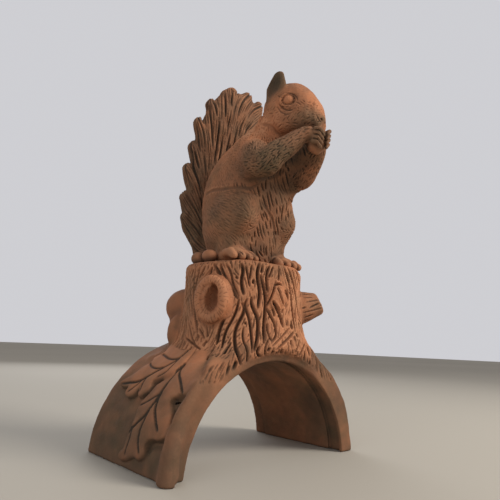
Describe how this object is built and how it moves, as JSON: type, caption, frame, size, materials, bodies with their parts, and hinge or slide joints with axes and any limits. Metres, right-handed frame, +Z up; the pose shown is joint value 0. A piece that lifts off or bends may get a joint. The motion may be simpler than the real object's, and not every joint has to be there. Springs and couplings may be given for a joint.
{
  "type": "squirrel ridge tile",
  "caption": "Half-round terracotta ridge tile carrying a tree stump with bark, knots and oak leaves, on which a squirrel sits and holds a nut, its tail raised behind.",
  "frame": {"origin": "middle of the plan box, on the plane of the two bearing edges", "axes": "+Z up; the tile's tunnel runs along Y; the squirrel faces -Y; +X is the squirrel's left"},
  "size_m": [0.3039, 0.2479, 0.5184],
  "materials": {
    "tile_clay": "unglazed fired clay, weathered, brown in the hollows",
    "bark_clay": "unglazed fired clay, carved bark, dark grime in the furrows",
    "fur_clay": "unglazed fired clay, combed fur texture",
    "tail_clay": "unglazed fired clay, long combed strands, dark grime between them",
    "detail_clay": "unglazed fired clay, rubbed smooth and orange"
  },
  "bodies": {
    "root": {"ridge_tile": "tile_clay", "stump": "bark_clay", "knot_large": "detail_clay", "knot_swirl": "detail_clay", "cut_branch": "bark_clay", "healed_burr": "tile_clay", "leaf_upper": "tile_clay", "leaf_lower": "tile_clay", "leaf_far": "tile_clay", "rim_nut_back": "detail_clay", "rim_nut_front": "detail_clay", "torso": "fur_clay", "head": "fur_clay", "ear_right": "fur_clay", "ear_left": "fur_clay", "eye_right": "detail_clay", "eye_left": "detail_clay", "nose": "fur_clay", "arm_right": "fur_clay", "arm_left": "fur_clay", "hand_right": "fur_clay", "hand_left": "fur_clay", "held_nut": "detail_clay", "thigh_right": "fur_clay", "thigh_left": "fur_clay", "foot_right": "detail_clay", "foot_left": "detail_clay", "tail": "tail_clay"}
  },
  "joints": []
}
